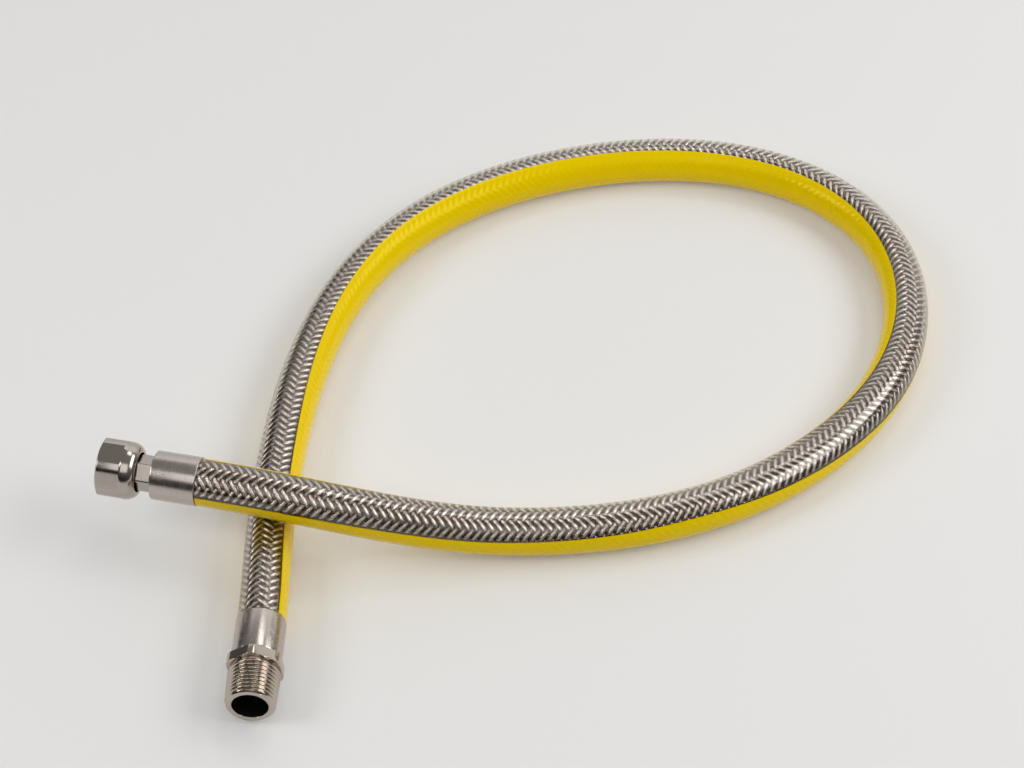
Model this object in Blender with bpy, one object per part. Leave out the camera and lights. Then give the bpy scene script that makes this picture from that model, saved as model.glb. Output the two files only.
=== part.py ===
# Gas hose, one metre long: a corrugated steel tube in a steel wire braid and a yellow PVC jacket,
# with a taper thread on one end and a swivel nut on the other.
# It lies in one loop, and the nut's end crosses over the stretch that leads to the thread.
# Metres, +Z up. The floor is z = 0, and the thread points along -Y.

import bpy
import bmesh
import numpy as np
from math import acos, cos, pi, radians, sin, sqrt
from mathutils import Vector

MM = 0.001

# Clearances
GAP = 0.3 * MM          # between faces that touch on the real hose
RUN = 0.3 * MM          # running clearance of the swivel nut
FERRULE_FIT = 0.36 * MM # round the braid, at its corners

# The hose, from the inside out
TUBE_OD = 15.0 * MM     # over the corrugations
TUBE_DEPTH = 1.1 * MM   # of one corrugation
TUBE_WALL = 0.4 * MM    # under the corrugations
TUBE_PITCH = 6.0 * MM
BRAID_WALL = 0.5 * MM
JACKET_WALL = 0.95 * MM
TUBE_SIDES = 8
BRAID_SIDES = 12
JACKET_SIDES = 16
WINDOW_ANGLE = 117.0    # degrees of the jacket's round that are clear
WINDOW_CENTRE = 49.0    # degrees from the loop's outer side towards the top
HOSE_STATIONS = 50
POINTS_A_SPAN = 24      # on the smooth curve between two points of the route

# The ferrules, one on each end of the hose
FERRULE_WALL = 1.36 * MM
FERRULE_LENGTH = 19.3 * MM
FERRULE_LIP = 1.5 * MM
FERRULE_EDGE = 0.5 * MM
WELD_FLANGE = 2.0 * MM
WELD_STEP = 1.14 * MM   # from the neck's corners out to the ferrule's bore

# What the swivel nut turns on
NECK_LENGTH = 6.2 * MM  # that shows between the nut and the ferrule
NECK_EDGE = 0.06 * MM   # taken off the sharp corners
NECK_TURN = 18.5        # degrees
JOURNAL_LENGTH = 3.0 * MM
JOURNAL_STEP = 0.25 * MM # how far the journal is turned below the flats
FLANGE_STEP = 0.6 * MM  # of the flange over the nut's back wall
FLANGE_LENGTH = 2.6 * MM
NIPPLE_BORE = 11.0 * MM
GASKET_LENGTH = 2.0 * MM
GASKET_BORE = 12.0 * MM

# The swivel nut
NUT_LENGTH = 16.9 * MM
NUT_WALL = 1.95 * MM    # from the thread's bore to the flats
NUT_CORNER = 0.95 * MM  # from the flats to the turned corners
NUT_HEX_LENGTH = 9.9 * MM
NUT_LAND = 0.6 * MM     # round step between the flats and the dome
NUT_REAR_WALL = 4.4 * MM
NUT_REAR_RIM = 1.0 * MM
NUT_CHAMFER = 0.9 * MM
NUT_TURN = 51.6         # degrees
DOME_ARC = 81.0         # degrees of a round that the domed back follows
DOME_STEPS = 4

# The male fitting, with an R 1/2 taper thread
COLLAR_AF = 22.0 * MM
COLLAR_CORNER = 1.0 * MM # from the flats to the turned corners
COLLAR_EDGE = 0.1 * MM
COLLAR_LENGTH = 4.9 * MM
COLLAR_TURN = 95.4      # degrees
THREAD_OD = 20.95 * MM  # in the gauge plane
THREAD_LENGTH = 17.3 * MM
THREAD_GAUGE = 8.2 * MM # from the end to the gauge plane
THREAD_TAPER = 1 / 16
THREAD_CHAMFER = 0.8 * MM
THREAD_RELIEF = 1.6 * MM
THREAD_DEPTH = 1.16 * MM
MALE_BORE = 14.8 * MM
MALE_BORE_DEPTH = 18.5 * MM

# The hose's route: the middle of its section, in millimetres.
# It runs from the swivel end's ferrule round the loop to the male end's ferrule.
ROUTE = [
    (-132.6, -69.6, 30.7),
    (-95.3, -76.0, 29.8),
    (-58.2, -77.3, 21.9),
    (-21.3, -75.1, 13.3),
    (16.3, -71.5, 10.3),
    (53.5, -64.1, 10.1),
    (88.6, -49.8, 10.0),
    (119.7, -28.2, 10.0),
    (144.8, 0.2, 10.0),
    (161.0, 34.3, 10.0),
    (166.2, 71.8, 10.0),
    (157.7, 108.5, 10.0),
    (134.0, 137.7, 10.0),
    (100.3, 154.7, 10.0),
    (62.8, 159.3, 10.0),
    (25.2, 154.2, 10.0),
    (-10.5, 141.4, 10.0),
    (-42.6, 121.3, 10.0),
    (-68.6, 93.8, 10.0),
    (-86.3, 60.4, 10.0),
    (-96.7, 23.9, 10.0),
    (-102.1, -13.7, 10.0),
    (-104.1, -51.6, 10.1),
    (-103.6, -89.5, 10.8),
    (-102.1, -127.4, 12.0),
]
SWIVEL_HEADING = 171.0  # degrees, the way that the nut points
MALE_HEADING = -90.0    # degrees, the way that the thread points

# Widths that follow from those above, from the tube outwards
TUBE_BORE = TUBE_OD - 2 * (TUBE_DEPTH + TUBE_WALL)
BRAID_INNER = (TUBE_OD / 2 + GAP) / cos(pi / BRAID_SIDES)
BRAID_OUTER = BRAID_INNER + BRAID_WALL
JACKET_INNER = (BRAID_OUTER + GAP) / cos(pi / JACKET_SIDES)
JACKET_OUTER = JACKET_INNER + JACKET_WALL
FERRULE_BORE = 2 * (BRAID_OUTER + FERRULE_FIT)
FERRULE_OD = FERRULE_BORE + 2 * FERRULE_WALL
NECK_CORNER = FERRULE_BORE / 2 - WELD_STEP
NECK_AF = NECK_CORNER * sqrt(3)
LIP_HOLE = 2 * (NECK_CORNER + GAP)
NUT_HOLE = 2 * (NECK_CORNER + RUN + GAP)
FLANGE_OD = NUT_HOLE + 2 * FLANGE_STEP
NUT_THREAD_BORE = FLANGE_OD + 2 * RUN
NUT_AF = NUT_THREAD_BORE + 2 * NUT_WALL
NUT_OD = NUT_AF + 2 * NUT_CORNER
COLLAR_OD = COLLAR_AF + 2 * COLLAR_CORNER

# Places along a fitting, from the ferrule's hose end outwards
WELD_FACE = FERRULE_LENGTH - FERRULE_LIP - GAP - WELD_FLANGE   # the face that the tube meets
NUT_REAR = FERRULE_LENGTH + NECK_LENGTH
NUT_MOUTH = NUT_REAR + NUT_LENGTH
FLANGE_BACK = NUT_REAR + NUT_REAR_WALL + RUN
FLANGE_FACE = FLANGE_BACK + FLANGE_LENGTH
GASKET_BACK = FLANGE_FACE + GAP
COLLAR_BACK = FERRULE_LENGTH + GAP
COLLAR_FACE = COLLAR_BACK + COLLAR_LENGTH
THREAD_END = COLLAR_FACE + THREAD_LENGTH

# Points on a turned or hexagonal section: each sixth has a land and a flat
LAND_STEPS = 2
FLAT_STEPS = 3
SHARP_ANGLE = 35.0      # degrees between two faces that meet at an edge


def clear_scene():
    for old in list(bpy.data.objects):
        bpy.data.objects.remove(old, do_unlink=True)


def make_material(name, colour, roughness, metallic, alpha=1.0):
    material = bpy.data.materials.new(name)
    material.use_nodes = True
    shader = material.node_tree.nodes["Principled BSDF"]
    shader.inputs["Base Color"].default_value = (*colour, 1.0)
    shader.inputs["Roughness"].default_value = roughness
    shader.inputs["Metallic"].default_value = metallic
    shader.inputs["Alpha"].default_value = alpha
    material.diffuse_color = (*colour, alpha)
    return material


def loft(name, rings, materials, face_material=None):
    """A closed solid from rings of points: each ring is joined to the next, and the last to the first."""
    mesh = bpy.data.meshes.new(name)
    form = bmesh.new()
    grid = [[form.verts.new(point) for point in ring] for ring in rings]
    count = len(rings[0])
    for index, ring in enumerate(grid):
        following = grid[(index + 1) % len(grid)]
        for side in range(count):
            turn = (side + 1) % count
            face = form.faces.new((ring[side], ring[turn], following[turn], following[side]))
            if face_material:
                face.material_index = face_material(side, index)
    bmesh.ops.recalc_face_normals(form, faces=form.faces)
    form.to_mesh(mesh)
    form.free()
    for material in materials:
        mesh.materials.append(material)
    mesh.shade_smooth()
    mesh.set_sharp_from_angle(angle=radians(SHARP_ANGLE))
    piece = bpy.data.objects.new(name, mesh)
    bpy.context.collection.objects.link(piece)
    return piece


# Turned and milled fittings
# Each is built along its own X axis, which starts at the ferrule's hose end and points away from the hose.

def section_angles(radius, across_flats):
    """The angles of one section's points, evenly spaced where it has no flats."""
    if across_flats:
        reach = acos(min(1.0, across_flats / 2 / radius))
    else:
        reach = pi / 6 * FLAT_STEPS / (LAND_STEPS + FLAT_STEPS)
    land = pi / 3 - 2 * reach
    angles = []
    for sixth in range(6):
        corner = sixth * pi / 3
        for step in range(LAND_STEPS):
            angles.append(corner - land / 2 + land * step / LAND_STEPS)
        for step in range(FLAT_STEPS):
            angles.append(corner + land / 2 + 2 * reach * step / FLAT_STEPS)
    return angles


def section(x, radius, across_flats, angles, turn):
    """One ring: a circle, or a hexagon whose corners are cut back to the radius."""
    ring = []
    for angle in angles:
        reach = radius
        if across_flats:
            from_flat = (angle % (pi / 3)) - pi / 6
            reach = min(radius, across_flats / 2 / cos(from_flat))
        spin = angle + radians(turn)
        ring.append(Vector((x, reach * cos(spin), reach * sin(spin))))
    return ring


def turned(name, outline, parent, material, turn=0.0, hexagon=None):
    """A hollow fitting: the outline is (x, radius) or (x, radius, across flats), outside then bore."""
    angles = section_angles(*hexagon) if hexagon else section_angles(1.0, None)
    rings = []
    for entry in outline:
        x, radius = entry[:2]
        across = entry[2] if len(entry) > 2 else None
        rings.append(section(x, radius, across, angles, turn))
    piece = loft(name, rings, [material])
    piece.parent = parent
    return piece


def end_frame(name, point, heading):
    """An empty at a ferrule's hose end, with its X axis along the fitting."""
    frame = bpy.data.objects.new(name, None)
    frame.location = Vector(point) * MM
    frame.rotation_euler = (0.0, 0.0, radians(heading))
    bpy.context.collection.objects.link(frame)
    return frame


def make_ferrule(name, parent, material):
    """A steel sleeve with a lip at its front, which holds the end of the tube and braid."""
    outer = FERRULE_OD / 2
    bore = FERRULE_BORE / 2
    lip = FERRULE_LENGTH - FERRULE_LIP
    return turned(name, [
        (0.0, outer - FERRULE_EDGE),
        (FERRULE_EDGE, outer),
        (FERRULE_LENGTH - FERRULE_EDGE, outer),
        (FERRULE_LENGTH, outer - FERRULE_EDGE),
        (FERRULE_LENGTH, LIP_HOLE / 2),
        (lip, LIP_HOLE / 2),
        (lip, bore),
        (0.0, bore),
    ], parent, material)


def make_swivel_nipple(parent, material):
    """What the nut turns on: a sealing flange, a round journal, a hexagonal neck and a weld flange."""
    corner = NECK_CORNER - NECK_EDGE
    hex_front = NUT_REAR + NUT_REAR_WALL - JOURNAL_LENGTH
    weld = WELD_FACE + WELD_FLANGE
    journal = NECK_AF / 2 - JOURNAL_STEP
    return turned("swivel_nipple", [
        (WELD_FACE, FERRULE_BORE / 2 - GAP),
        (weld, FERRULE_BORE / 2 - GAP),
        (weld, corner, NECK_AF),
        (hex_front, corner, NECK_AF),
        (hex_front, journal),
        (FLANGE_BACK, journal),
        (FLANGE_BACK, FLANGE_OD / 2),
        (FLANGE_FACE, FLANGE_OD / 2),
        (FLANGE_FACE, NIPPLE_BORE / 2),
        (WELD_FACE, NIPPLE_BORE / 2),
    ], parent, material, turn=NECK_TURN, hexagon=(corner, NECK_AF))


def make_nut(parent, material):
    """A hexagon nut with turned corners and a domed back, held behind the nipple's flange."""
    outer = NUT_OD / 2
    hole = NUT_HOLE / 2
    thread = NUT_THREAD_BORE / 2
    hex_back = NUT_MOUTH - NUT_HEX_LENGTH
    seat = NUT_REAR + NUT_REAR_WALL
    rim = hole + NUT_REAR_RIM
    dome_start = hex_back - NUT_LAND
    arc = radians(DOME_ARC)
    dome = []
    for step in range(DOME_STEPS + 1):
        lean = arc * step / DOME_STEPS
        x = dome_start + (NUT_REAR - dome_start) * sin(lean) / sin(arc)
        radius = outer - (outer - rim) * (1 - cos(lean)) / (1 - cos(arc))
        dome.append((x, radius))
    return turned("swivel_nut", [
        (NUT_MOUTH, NUT_AF / 2 - NUT_CHAMFER / 2),
        (NUT_MOUTH - NUT_CHAMFER / 2, outer, NUT_AF),
        (hex_back, outer, NUT_AF),
        (hex_back, outer),
        *dome,
        (NUT_REAR, hole),
        (seat, hole),
        (seat, thread),
        (NUT_MOUTH - NUT_CHAMFER, thread),
        (NUT_MOUTH, thread + NUT_CHAMFER),
    ], parent, material, turn=NUT_TURN, hexagon=(outer, NUT_AF))


def make_gasket(parent, material):
    """The flat washer that seals against the nipple's flange."""
    outer = FLANGE_OD / 2
    front = GASKET_BACK + GASKET_LENGTH
    return turned("sealing_gasket", [
        (GASKET_BACK, outer),
        (front, outer),
        (front, GASKET_BORE / 2),
        (GASKET_BACK, GASKET_BORE / 2),
    ], parent, material, turn=NUT_TURN)


def thread_radius(from_end):
    """The taper thread's outer radius at a distance from its end."""
    return THREAD_OD / 2 + (from_end - THREAD_GAUGE) * THREAD_TAPER / 2


def make_male_nipple(parent, material):
    """The male fitting: taper thread, hexagonal collar, and a weld flange inside the ferrule."""
    collar = COLLAR_OD / 2
    weld = WELD_FACE + WELD_FLANGE
    neck = LIP_HOLE / 2 - GAP
    relief = thread_radius(THREAD_LENGTH) - THREAD_DEPTH
    relief_start = COLLAR_FACE + THREAD_RELIEF
    bore_floor = THREAD_END - MALE_BORE_DEPTH
    step = (MALE_BORE - NIPPLE_BORE) / 2
    return turned("male_nipple", [
        (WELD_FACE, FERRULE_BORE / 2 - GAP),
        (weld, FERRULE_BORE / 2 - GAP),
        (weld, neck),
        (COLLAR_BACK, neck),
        (COLLAR_BACK, COLLAR_AF / 2),
        (COLLAR_BACK + COLLAR_EDGE, collar, COLLAR_AF),
        (COLLAR_FACE - COLLAR_EDGE, collar, COLLAR_AF),
        (COLLAR_FACE, COLLAR_AF / 2),
        (COLLAR_FACE, relief),
        (relief_start, relief),
        (relief_start + THREAD_DEPTH / 2, thread_radius(THREAD_LENGTH - THREAD_RELIEF)),
        (THREAD_END - THREAD_CHAMFER, thread_radius(THREAD_CHAMFER)),
        (THREAD_END, thread_radius(0.0) - THREAD_CHAMFER),
        (THREAD_END, MALE_BORE / 2),
        (bore_floor, MALE_BORE / 2),
        (bore_floor - step, NIPPLE_BORE / 2),
        (WELD_FACE, NIPPLE_BORE / 2),
    ], parent, material, turn=COLLAR_TURN, hexagon=(collar, COLLAR_AF))


# The hose: three sleeves, one in the other, on one route

def smooth_route():
    """Closely spaced points on the smooth curve through ROUTE, straight out of each ferrule."""
    points = np.array(ROUTE) * MM
    first = np.array([-cos(radians(SWIVEL_HEADING)), -sin(radians(SWIVEL_HEADING)), 0.0])
    last = np.array([cos(radians(MALE_HEADING)), sin(radians(MALE_HEADING)), 0.0])
    spans = np.linalg.norm(np.diff(points, axis=0), axis=1)
    count = len(points)
    rows = np.zeros((count, count))
    known = np.zeros((count, 3))
    rows[0, 0] = rows[-1, -1] = 1.0
    known[0], known[-1] = first, last
    for i in range(1, count - 1):
        before, after = spans[i - 1], spans[i]
        rows[i, i - 1:i + 2] = after, 2 * (before + after), before
        known[i] = 3 * (after * (points[i] - points[i - 1]) / before
                        + before * (points[i + 1] - points[i]) / after)
    slopes = np.linalg.solve(rows, known)
    fine = []
    for i, span in enumerate(spans):
        for t in np.linspace(0.0, 1.0, POINTS_A_SPAN, endpoint=False):
            fine.append((1 + 2 * t) * (1 - t) ** 2 * points[i]
                        + t * (1 - t) ** 2 * span * slopes[i]
                        + t * t * (3 - 2 * t) * points[i + 1]
                        + t * t * (t - 1) * span * slopes[i + 1])
    fine.append(points[-1])
    return np.array(fine), first, last


class HoseLine:
    """The middle of the hose as a chain of straight lengths, which every layer follows."""

    def __init__(self):
        fine, first, last = smooth_route()
        run = np.concatenate(([0.0], np.cumsum(np.linalg.norm(np.diff(fine, axis=0), axis=1))))
        self.length = run[-1]
        places = np.linspace(0.0, self.length, HOSE_STATIONS)
        middles = np.stack([np.interp(places, run, fine[:, axis]) for axis in range(3)], axis=1)
        inside = WELD_FACE - GAP
        self.places = np.concatenate(([-inside], places, [self.length + inside]))
        self.points = np.vstack((middles[0] - first * inside, middles, middles[-1] + last * inside))
        steps = np.diff(self.points, axis=0)
        steps /= np.linalg.norm(steps, axis=1)[:, None]
        along = np.vstack((steps[0], steps[:-1] + steps[1:], steps[-1]))
        along /= np.linalg.norm(along, axis=1)[:, None]
        side = np.cross(along, (0.0, 0.0, 1.0))
        self.side = side / np.linalg.norm(side, axis=1)[:, None]
        self.up = np.cross(self.side, along)

    def ring(self, place, radius, sides):
        """A round section of the hose at a place along it."""
        middle, side, up = (np.array([np.interp(place, self.places, values[:, axis]) for axis in range(3)])
                            for values in (self.points, self.side, self.up))
        ring = []
        for step in range(sides):
            angle = 2 * pi * step / sides - pi / 2
            ring.append(Vector(middle + radius * (cos(angle) * side + sin(angle) * up)))
        return ring

    def between(self, start, end):
        """The places where a layer from start to end has a section."""
        inner = [place for place in self.places if start < place < end]
        return [start, *inner, end]


def make_sleeve(name, line, start, end, inner, outer, sides, materials, face_material=None):
    """One plain layer of the hose, open at both ends."""
    places = line.between(start, end)
    rings = [line.ring(place, outer, sides) for place in places]
    rings += [line.ring(place, inner, sides) for place in reversed(places)]
    return loft(name, rings, materials, face_material)


def make_corrugated_tube(line, start, end, material):
    """The gas-tight tube: rings of corrugation outside, and a plain bore."""
    crest = TUBE_OD / 2
    valley = crest - TUBE_DEPTH
    waves = int((end - start) / TUBE_PITCH)
    rings = []
    for wave in range(waves):
        low = start + (end - start) * wave / waves
        high = start + (end - start) * (wave + 0.5) / waves
        rings.append(line.ring(low, valley, TUBE_SIDES))
        rings.append(line.ring(high, crest, TUBE_SIDES))
    rings.append(line.ring(end, valley, TUBE_SIDES))
    places = line.between(start, end)
    rings += [line.ring(place, TUBE_BORE / 2, TUBE_SIDES) for place in reversed(places)]
    return loft("corrugated_tube", rings, [material])


def window_side(side, _ring):
    """Slot 1, clear, for the faces in the jacket's window, and slot 0, yellow, for the rest."""
    middle = 360.0 * (side + 0.5) / JACKET_SIDES - 90.0
    return 1 if abs(middle - WINDOW_CENTRE) <= WINDOW_ANGLE / 2 else 0


def build():
    clear_scene()
    turned_steel = make_material("turned_stainless_steel", (0.42, 0.40, 0.37), 0.28, 1.0)
    tube_steel = make_material("corrugated_stainless_tube", (0.45, 0.44, 0.42), 0.3, 1.0)
    wire_steel = make_material("braided_stainless_wire", (0.52, 0.50, 0.46), 0.25, 1.0)
    yellow_pvc = make_material("yellow_pvc", (0.72, 0.52, 0.0), 0.35, 0.0)
    clear_pvc = make_material("clear_pvc", (0.9, 0.88, 0.7), 0.15, 0.0, alpha=0.25)
    rubber = make_material("nitrile_rubber", (0.02, 0.02, 0.02), 0.7, 0.0)

    line = HoseLine()
    inside = WELD_FACE - GAP
    length = line.length
    make_corrugated_tube(line, -inside, length + inside, tube_steel)
    make_sleeve("wire_braid", line, -inside, length + inside,
                BRAID_INNER, BRAID_OUTER, BRAID_SIDES, [wire_steel])
    make_sleeve("pvc_jacket", line, GAP, length - GAP,
                JACKET_INNER, JACKET_OUTER, JACKET_SIDES, [yellow_pvc, clear_pvc], window_side)

    swivel_end = end_frame("swivel_end", ROUTE[0], SWIVEL_HEADING)
    make_ferrule("swivel_ferrule", swivel_end, turned_steel)
    make_swivel_nipple(swivel_end, turned_steel)
    make_nut(swivel_end, turned_steel)
    make_gasket(swivel_end, rubber)

    male_end = end_frame("male_end", ROUTE[-1], MALE_HEADING)
    make_ferrule("male_ferrule", male_end, turned_steel)
    make_male_nipple(male_end, turned_steel)


build()
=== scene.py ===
# %% [markdown]
# # A braided gas hose, one metre long
# The object is a hose for household gas. From the inside out it has a thin corrugated steel tube that
# holds the gas, a braid of fine steel wires that takes the pull, and a PVC jacket that keeps both clean.
# The jacket is yellow, with one clear stripe that lets the braid be inspected. A swivel nut is on one
# end, and a taper pipe thread on the other. This lesson dresses a fixed frame of plain solids: each
# piece gets its fine form and its finish, at the place where its solid is.

# %% Start: the frame and the tools
from math import cos, pi, radians, sin

import bpy
import numpy as np
from mathutils import Matrix, Vector


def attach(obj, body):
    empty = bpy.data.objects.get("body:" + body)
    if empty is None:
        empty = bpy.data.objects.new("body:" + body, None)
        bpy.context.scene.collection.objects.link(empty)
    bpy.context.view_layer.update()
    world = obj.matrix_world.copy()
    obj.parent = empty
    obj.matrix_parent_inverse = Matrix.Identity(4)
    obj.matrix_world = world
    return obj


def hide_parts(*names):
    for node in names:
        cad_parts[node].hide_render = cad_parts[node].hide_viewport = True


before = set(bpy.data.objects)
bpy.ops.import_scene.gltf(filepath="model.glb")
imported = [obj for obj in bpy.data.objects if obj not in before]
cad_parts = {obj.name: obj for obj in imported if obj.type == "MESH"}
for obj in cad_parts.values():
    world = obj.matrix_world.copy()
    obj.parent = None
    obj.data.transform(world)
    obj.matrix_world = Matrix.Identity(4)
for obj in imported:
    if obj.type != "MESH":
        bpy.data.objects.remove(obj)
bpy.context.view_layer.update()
MM = 0.001
print("nodes:", sorted(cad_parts))

# %% [markdown]
# ## The camera
# A catalogue photograph of something long is taken from far off with a long lens, so that the near and
# the far side of the loop come out at almost the same width. Here the far side is a tenth narrower than
# the near one, which a 100 mm lens gives from about one and a quarter metres. The camera looks down at
# 47 degrees and is turned a little to the left.

# %% The camera
VIEW_POINT = Vector((-0.0080, 0.0206, 0.0))
VIEW_DISTANCE = 1.25577
VIEW_DOWN = 47.0
VIEW_TURN = 2.8114

down = radians(VIEW_DOWN)
turn = radians(VIEW_TURN)
view_line = Vector((-sin(turn) * cos(down), cos(turn) * cos(down), -sin(down)))
lens = bpy.data.cameras.new("camera")
lens.lens = 100.0
lens.sensor_width = 36.0
lens.clip_start = 0.01
camera = bpy.data.objects.new("camera", lens)
camera.location = VIEW_POINT - view_line * VIEW_DISTANCE
camera.rotation_euler = (pi / 2 - down, 0.0, turn)
bpy.context.scene.collection.objects.link(camera)
bpy.context.scene.camera = camera
print("camera at", [round(value, 3) for value in camera.location])

# %% [markdown]
# ## The line that the hose follows
# A gas hose is stiff. It lies in wide bends with no sharp one anywhere, and it comes straight out of
# each ferrule. So its middle is one smooth curve through points that are read from the photograph: a
# cubic spline whose two end directions are those of the fittings. The points are the same as in the
# model of the solids, in millimetres.

# %% The route
ROUTE = [
    (-132.6, -69.6, 30.7),
    (-95.3, -76.0, 29.8),
    (-58.2, -77.3, 21.9),
    (-21.3, -75.1, 13.3),
    (16.3, -71.5, 10.3),
    (53.5, -64.1, 10.1),
    (88.6, -49.8, 10.0),
    (119.7, -28.2, 10.0),
    (144.8, 0.2, 10.0),
    (161.0, 34.3, 10.0),
    (166.2, 71.8, 10.0),
    (157.7, 108.5, 10.0),
    (134.0, 137.7, 10.0),
    (100.3, 154.7, 10.0),
    (62.8, 159.3, 10.0),
    (25.2, 154.2, 10.0),
    (-10.5, 141.4, 10.0),
    (-42.6, 121.3, 10.0),
    (-68.6, 93.8, 10.0),
    (-86.3, 60.4, 10.0),
    (-96.7, 23.9, 10.0),
    (-102.1, -13.7, 10.0),
    (-104.1, -51.6, 10.1),
    (-103.6, -89.5, 10.8),
    (-102.1, -127.4, 12.0),
]
SWIVEL_HEADING = 171.0   # degrees, the way that the nut points
MALE_HEADING = -90.0     # degrees, the way that the thread points
POINTS_A_SPAN = 24


def smooth_route():
    """Closely spaced points on the smooth curve through ROUTE, and its directions at both ends."""
    points = np.array(ROUTE) * MM
    first = np.array([-cos(radians(SWIVEL_HEADING)), -sin(radians(SWIVEL_HEADING)), 0.0])
    last = np.array([cos(radians(MALE_HEADING)), sin(radians(MALE_HEADING)), 0.0])
    spans = np.linalg.norm(np.diff(points, axis=0), axis=1)
    count = len(points)
    rows = np.zeros((count, count))
    known = np.zeros((count, 3))
    rows[0, 0] = rows[-1, -1] = 1.0
    known[0], known[-1] = first, last
    for i in range(1, count - 1):
        before, after = spans[i - 1], spans[i]
        rows[i, i - 1:i + 2] = after, 2 * (before + after), before
        known[i] = 3 * (after * (points[i] - points[i - 1]) / before
                        + before * (points[i + 1] - points[i]) / after)
    slopes = np.linalg.solve(rows, known)
    fine = []
    for i, span in enumerate(spans):
        for t in np.linspace(0.0, 1.0, POINTS_A_SPAN, endpoint=False):
            fine.append((1 + 2 * t) * (1 - t) ** 2 * points[i]
                        + t * (1 - t) ** 2 * span * slopes[i]
                        + t * t * (3 - 2 * t) * points[i + 1]
                        + t * t * (t - 1) * span * slopes[i + 1])
    fine.append(points[-1])
    return np.array(fine), first, last


route, first_way, last_way = smooth_route()
steps = np.linalg.norm(np.diff(route, axis=0), axis=1)
HOSE_LENGTH = float(steps.sum())
print(f"hose between its ferrules: {HOSE_LENGTH:.3f} m")

# %% [markdown]
# ## Places on the hose
# Everything on the hose is placed by three numbers: how far along it, at what angle round it, and how
# far from its middle. The angle starts at the outer side of the loop and rises over the top, so 90
# degrees is up and 180 is the inner side. One function turns these into points, and the jacket and
# every braid strand use it.

# %% From hose numbers to points
INSIDE = 15.2 * MM       # how far tube and braid go on inside each ferrule
PATH_POINTS = 120        # points on the middle line, sampled as a path along the hose

along_fine = np.concatenate(([-INSIDE], [0.0], np.cumsum(steps), [HOSE_LENGTH + INSIDE]))
middle_fine = np.vstack((route[0] - first_way * INSIDE, route, route[-1] + last_way * INSIDE))


def hose_frame(along):
    """The middle, the sideways and the upward direction of the hose at each distance along it."""
    near = 0.5 * MM
    middle, before, after = (
        np.stack([np.interp(place, along_fine, middle_fine[:, axis]) for axis in range(3)], axis=-1)
        for place in (along, along - near, along + near))
    way = after - before
    way /= np.linalg.norm(way, axis=-1, keepdims=True)
    side = np.cross(way, (0.0, 0.0, 1.0))
    side /= np.linalg.norm(side, axis=-1, keepdims=True)
    return middle, side, np.cross(side, way)


def on_hose(along, angle, radius):
    """Points on the hose, from arrays of distance along it, angle in radians and radius."""
    middle, side, up = hose_frame(along)
    outward = np.cos(angle)[..., None] * side + np.sin(angle)[..., None] * up
    return middle + radius[..., None] * outward, outward


centre_line = np.zeros(PATH_POINTS)
cord_path = on_hose(np.linspace(0.0, HOSE_LENGTH, PATH_POINTS), centre_line, centre_line)[0]
print("path for the hose:", len(cord_path), "points")

# %% [markdown]
# ## Meshes from grids
# The jacket, the strands and the turned fittings are all sheets of quads wrapped into a tube, so one
# function makes them: rows of points, each row closed on itself, with the last row open or joined to
# the first. It also writes a UV map from real measures, so that a pattern can have its real size.

# %% A mesh from a grid of points


def grid_mesh(name, points, materials, slots=None, uv=None, join_ends=False, caps=False, sharp=35.0):
    """A mesh from points[row, column]. Columns wrap round, and rows join end to end if join_ends."""
    rows, columns = points.shape[:2]
    last = rows if join_ends else rows - 1
    row, column = np.meshgrid(np.arange(last), np.arange(columns), indexing="ij")
    next_row = (row + 1) % rows
    next_column = (column + 1) % columns
    corners = np.stack((row * columns + column, row * columns + next_column,
                        next_row * columns + next_column, next_row * columns + column), axis=-1)
    faces = corners.reshape(-1, 4).tolist()
    if caps:
        faces.append(list(range(columns))[::-1])
        faces.append([(rows - 1) * columns + c for c in range(columns)])
    mesh = bpy.data.meshes.new(name)
    mesh.from_pydata(points.reshape(-1, 3).tolist(), [], faces)
    for material in materials:
        mesh.materials.append(material)
    if slots is not None:
        mesh.polygons.foreach_set("material_index", slots.reshape(-1).astype(np.int32))
    if uv is not None:
        across, along = uv
        corner_u = np.stack((across[row, column], across[row, column + 1],
                             across[row + 1, column + 1], across[row + 1, column]), axis=-1)
        corner_v = np.stack((along[row, column], along[row, column + 1],
                             along[row + 1, column + 1], along[row + 1, column]), axis=-1)
        flat = np.stack((corner_u, corner_v), axis=-1).reshape(-1, 2)
        full = np.zeros((len(mesh.loops), 2))
        full[:len(flat)] = flat
        mesh.uv_layers.new(name="size_map").data.foreach_set("uv", full.reshape(-1))
    mesh.validate()
    mesh.update()
    if sum(face.center.dot(face.normal) * face.area for face in mesh.polygons) < 0:
        mesh.flip_normals()
    mesh.shade_smooth()
    mesh.set_sharp_from_angle(angle=radians(sharp))
    piece = bpy.data.objects.new(name, mesh)
    bpy.context.scene.collection.objects.link(piece)
    return piece


print("ready to make meshes:", grid_mesh.__name__)

# %% [markdown]
# ## Two helpers for finishes
# Every colour below is an sRGB hex value, as a colour chart gives it. Blender's shaders work with
# linear light, so one function converts it. A second one adds a node to a material, with its settings
# and its links, so each finish reads as a short list.

# %% Colour and node helpers


def linear(code):
    """An sRGB hex colour as linear RGBA."""
    parts = [int(code[i:i + 2], 16) / 255 for i in (1, 3, 5)]
    light = [part / 12.92 if part <= 0.04045 else ((part + 0.055) / 1.055) ** 2.4 for part in parts]
    return (*light, 1.0)


def add_node(material, kind, inputs=None, **settings):
    """Adds a node. inputs maps a socket's name or number to a value, or to the output that feeds it."""
    node = material.node_tree.nodes.new(kind)
    for key, value in settings.items():
        setattr(node, key, value)
    for key, value in (inputs or {}).items():
        if isinstance(value, bpy.types.NodeSocket):
            material.node_tree.links.new(value, node.inputs[key])
        else:
            node.inputs[key].default_value = value
    return node


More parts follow.
